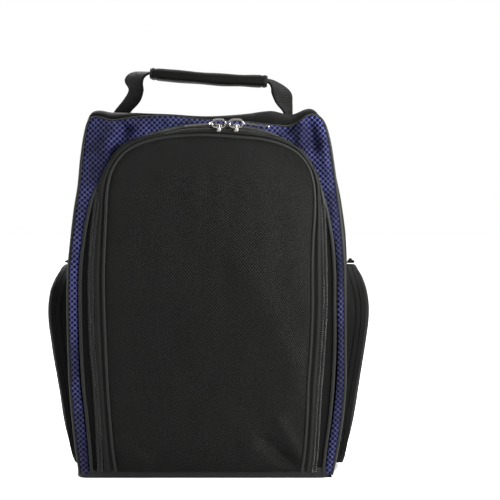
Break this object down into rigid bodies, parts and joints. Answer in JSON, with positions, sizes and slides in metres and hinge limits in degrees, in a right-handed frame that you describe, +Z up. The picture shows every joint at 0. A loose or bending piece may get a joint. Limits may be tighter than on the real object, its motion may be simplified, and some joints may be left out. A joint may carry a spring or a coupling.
{
  "type": "shoe bag",
  "caption": "Tall soft shoe bag that stands on its base, with a U-shaped zip lid hinged at the bottom of the front, zipped side pockets and a padded top handle.",
  "frame": {"origin": "middle of the base, on the surface that the bag stands on", "axes": "+Z up, the front with the lid faces -Y, +X to the right seen from the front"},
  "size_m": [0.3184, 0.1416, 0.4079],
  "materials": {
    "black_fabric": "woven polyester, matt with a low sheen",
    "purple_mesh": "spacer mesh with dark open cells",
    "lining": "thin plain lining",
    "board": "stiffener board",
    "foam": "closed cell foam",
    "binding": "folded tape over cord",
    "zip_tape": "knitted zip tape",
    "zip_coil": "moulded coil teeth",
    "nickel": "nickel plate",
    "black_metal": "black paint",
    "webbing": "ribbed webbing"
  },
  "bodies": {
    "bag": {"base_panel": "black_fabric", "base_board": "board", "back_panel": "black_fabric", "back_foam": "foam", "back_lining": "lining", "top_panel": "black_fabric", "left_side_panel": "black_fabric", "right_side_panel": "black_fabric", "interior_lining": "lining", "front_hem_band": "black_fabric", "front_yoke": "purple_mesh", "yoke_binding": "binding", "main_zip_tape_frame": "zip_tape", "main_zip_coil_frame": "zip_coil", "front_piping": "binding", "back_piping": "binding", "left_handle_anchor": "webbing", "right_handle_anchor": "webbing", "left_pocket_gusset": "black_fabric", "left_pocket_tape_fixed": "zip_tape", "left_pocket_coil_fixed": "zip_coil", "right_pocket_gusset": "black_fabric", "right_pocket_tape_fixed": "zip_tape", "right_pocket_coil_fixed": "zip_coil"},
    "lid": {"lid_panel": "black_fabric", "lid_foam": "foam", "lid_lining": "lining", "lid_piping": "binding", "lid_zip_strip": "black_fabric", "main_zip_tape_lid": "zip_tape", "main_zip_coil_lid": "zip_coil"},
    "handle": {"handle_webbing": "webbing", "grip_foam": "foam", "grip_sleeve": "black_fabric"},
    "left_zip_slider": {"left_main_slider": "nickel"},
    "left_zip_pull": {"left_pull_ring": "nickel", "left_pull_tab": "nickel"},
    "left_pocket": {"left_pocket_panel": "black_fabric", "left_pocket_tape_flap": "zip_tape", "left_pocket_coil_flap": "zip_coil"},
    "left_pocket_zip_slider": {"left_pocket_slider": "black_metal"},
    "left_pocket_zip_pull": {"left_pocket_pull": "black_metal"},
    "right_zip_slider": {"right_main_slider": "nickel"},
    "right_zip_pull": {"right_pull_ring": "nickel", "right_pull_tab": "nickel"},
    "right_pocket": {"right_pocket_panel": "black_fabric", "right_pocket_tape_flap": "zip_tape", "right_pocket_coil_flap": "zip_coil"},
    "right_pocket_zip_slider": {"right_pocket_slider": "black_metal"},
    "right_pocket_zip_pull": {"right_pocket_pull": "black_metal"}
  },
  "joints": [
    {"name": "lid_hinge", "type": "hinge", "parent": "bag", "child": "lid", "pos_m": [0, -0.07, 0.013], "axis": [1, 0, 0], "range_deg": [0, 90]},
    {"name": "handle_swing", "type": "hinge", "parent": "bag", "child": "handle", "pos_m": [0, -0.015, 0.372], "axis": [1, 0, 0], "range_deg": [-60, 60]},
    {"name": "left_slider_travel", "type": "slide", "parent": "lid", "child": "left_zip_slider", "axis": [-1, 0, 0], "range_m": [0, 0.06]},
    {"name": "left_pull_flip", "type": "hinge", "parent": "left_zip_slider", "child": "left_zip_pull", "pos_m": [0.011, -0.0719, 0.346], "axis": [1, 0, 0], "range_deg": [0, 160]},
    {"name": "left_pocket_hinge", "type": "hinge", "parent": "bag", "child": "left_pocket", "pos_m": [-0.1402, 0.038, 0.1075], "axis": [0, 0, -1], "range_deg": [0, 80]},
    {"name": "left_pocket_slider_travel", "type": "slide", "parent": "left_pocket", "child": "left_pocket_zip_slider", "axis": [0, -1, 0], "range_m": [0, 0.019]},
    {"name": "left_pocket_pull_flip", "type": "hinge", "parent": "left_pocket_zip_slider", "child": "left_pocket_zip_pull", "pos_m": [-0.1468, 0.028, 0.2103], "axis": [-1, 0, 0], "range_deg": [0, 170]},
    {"name": "right_slider_travel", "type": "slide", "parent": "lid", "child": "right_zip_slider", "axis": [1, 0, 0], "range_m": [0, 0.024]},
    {"name": "right_pull_flip", "type": "hinge", "parent": "right_zip_slider", "child": "right_zip_pull", "pos_m": [0.028, -0.0719, 0.346], "axis": [1, 0, 0], "range_deg": [0, 160]},
    {"name": "right_pocket_hinge", "type": "hinge", "parent": "bag", "child": "right_pocket", "pos_m": [0.1402, 0.038, 0.1075], "axis": [0, 0, 1], "range_deg": [0, 80]},
    {"name": "right_pocket_slider_travel", "type": "slide", "parent": "right_pocket", "child": "right_pocket_zip_slider", "axis": [0, -1, 0], "range_m": [0, 0.019]},
    {"name": "right_pocket_pull_flip", "type": "hinge", "parent": "right_pocket_zip_slider", "child": "right_pocket_zip_pull", "pos_m": [0.1468, 0.028, 0.2103], "axis": [-1, 0, 0], "range_deg": [0, 170]}
  ]
}
